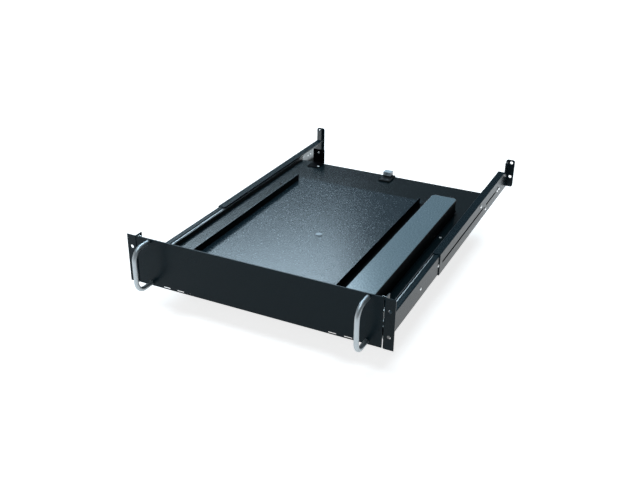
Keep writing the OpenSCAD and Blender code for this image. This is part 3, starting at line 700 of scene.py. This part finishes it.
# Palm rest screws: three steel pan heads with a dull grey plating, driven up through the
# turning plate into the bar.
dull_zinc = metal("dull_zinc", (0.08, 0.09, 0.095), roughness=0.4)
fastened("screws_palm_rest", "palm_rest_screws", "drawer", dull_zinc,
         pan_head, screw_height, screw_shank)


# Cable clip: a pale nylon jaw for the keyboard's cable, pressed on a black moulded foot
# that two dark rivets hold to the rear edge of the tray.
foot_black = coat("foot_black", (0.006, 0.007, 0.008), roughness=0.45, shine=0.15, grain=1.2 * mm)
pressed("clip_base", "clip_foot", "drawer", (foot_black,), broken=0.5 * mm)
clip_pale = coat("clip_pale", (0.5, 0.58, 0.64), roughness=0.35, grain=1.5 * mm, relief=0.01 * mm)
pressed("clip_jaw", "cable_clip", "drawer", (clip_pale,), broken=0.7 * mm)
dark_oxide = metal("dark_oxide", (0.09, 0.09, 0.095), roughness=0.4)
fastened("rivets_clip", "clip_screws", "drawer", dark_oxide, rivet_head,
         rivet_height, rivet_shank)


# Cable bracket: an angle of black sheet on the left of the rear edge, its foot held by one
# bright screw and a second screw in its upright plate.
bracket_black = coat("cable_bracket_black", (0.002, 0.002, 0.003), roughness=0.6, shine=0.03)
pressed("bracket_cable", "cable_bracket", "drawer", (bracket_black, inner_worn))
white_zinc = metal("white_zinc", (0.95, 0.97, 0.98), roughness=0.45)
small_height = 1.8 * mm
small_shank = 3.2 * mm
fastened("screws_cable", "cable_bracket_screws", "drawer", white_zinc, pan_head,
         small_height, small_shank)


# Tray rivet: one small bright steel rivet through the tray, in the strip to the right of the
# palm rest.
fastened("rivet_tray", "tray_rivet", "drawer", white_zinc, rivet_head,
         rivet_height, rivet_shank)


# Hinges: zinc plated leaves with curled knuckles. One leaf is riveted to the tray's front
# strip, the other is spot welded behind the panel and shows through slots along its foot.
hinge_gauge = 1.2 * mm
hinge_broken = 0.15 * mm
pressed("hinge_leaves_tray", "tray_hinge_leaves", "drawer", (spring_zinc,),
        gauge=hinge_gauge, broken=hinge_broken)
fastened("rivets_hinge", "hinge_rivets", "drawer", bright_zinc, rivet_head,
         rivet_height, rivet_shank)
refinish(["hinge_pins"], dull_zinc)
pressed("hinge_leaves_panel", "panel_hinge_leaves", "panel", (slide_zinc,),
        gauge=hinge_gauge, broken=hinge_broken)


# Front panel: a plain steel plate in smooth black, with four hinge slots and a pin hole
# along its foot. Its edges are a shade lighter where the coat is thin.
panel_black = coat("panel_black", (0.004, 0.016, 0.023), roughness=0.3, shine=0.12, grain=0.9 * mm,
                   relief=0.01 * mm)
panel_worn = coat("panel_black_worn", (0.03, 0.037, 0.042), roughness=0.3, wear=0.5)
pressed("panel", "front_panel", "panel", (panel_black, panel_worn))


# Catch tongues: short angles of zinc plated steel, spot welded behind the ends of the panel.
# They snap into the catch clips when the panel is up.
pressed("tongues", "catch_tongues", "panel", (spring_zinc,), gauge=1.6 * mm,
        fold=1.7 * mm, broken=0.12 * mm)


# Bow handles: aluminium rod with a satin finish, bent twice, with tapped ends that are
# screwed on from behind the panel.
satin = metal("handle_satin", (0.5, 0.545, 0.57), roughness=0.5, streaks=(60, 60, 60),
              relief=0.002 * mm)
bend_radius = 20 * mm
bend_steps = 12
rod_sides = 40
rod_broken = 0.4 * mm


def bow(name, node):
    """A rod from the upper foot out, down and back to the lower foot."""
    low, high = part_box(node)
    radius = (high.x - low.x) / 2
    x = (low.x + high.x) / 2
    top = high.z - radius
    reach = -low.y - radius
    run = reach - bend_radius
    drop = high.z - low.z - 2 * radius - 2 * bend_radius
    shape = bmesh.new()
    foot = bmesh.ops.create_circle(
        shape, radius=radius, segments=rod_sides,
        matrix=Matrix.Translation((x, 0, top)) @ Matrix.Rotation(math.pi / 2, 4, "X"))
    ring = list({edge for vert in foot["verts"] for edge in vert.link_edges})

    def drawn(ring, offset):
        grown = bmesh.ops.extrude_edge_only(shape, edges=ring)["geom"]
        verts = [part for part in grown if isinstance(part, bmesh.types.BMVert)]
        bmesh.ops.translate(shape, verts=verts, vec=offset)
        return [part for part in grown if isinstance(part, bmesh.types.BMEdge)]

    def bent(ring, centre):
        verts = list({vert for edge in ring for vert in edge.verts})
        last = bmesh.ops.spin(shape, geom=verts + ring, cent=centre, axis=(1, 0, 0),
                              angle=math.pi / 2, steps=bend_steps)["geom_last"]
        return [part for part in last if isinstance(part, bmesh.types.BMEdge)]

    ring = drawn(ring, (0, -run, 0))
    ring = bent(ring, (x, -run, top - bend_radius))
    ring = drawn(ring, (0, 0, -drop))
    ring = bent(ring, (x, -run, top - bend_radius - drop))
    ring = drawn(ring, (0, run, 0))
    bmesh.ops.holes_fill(shape, edges=[edge for edge in shape.edges if edge.is_boundary])
    bmesh.ops.remove_doubles(shape, verts=shape.verts, dist=1e-7)
    bmesh.ops.recalc_face_normals(shape, faces=shape.faces)
    feet = [edge for edge in shape.edges if edge.calc_face_angle(0) > square_turn]
    for face in shape.faces:
        face.smooth = len(face.verts) == 4
    round_edges(shape, feet, rod_broken, segments=2)
    add_piece(name, shape, "panel", (satin,), [node])


bow("bow_left", "handle_left")
bow("bow_right", "handle_right")


# Handle screws: four zinc plated pan heads behind the panel, driven through it into the ends
# of the rods.
fastened("screws_handle", "handle_screws", "panel", bright_zinc, pan_head,
         screw_height, screw_shank)
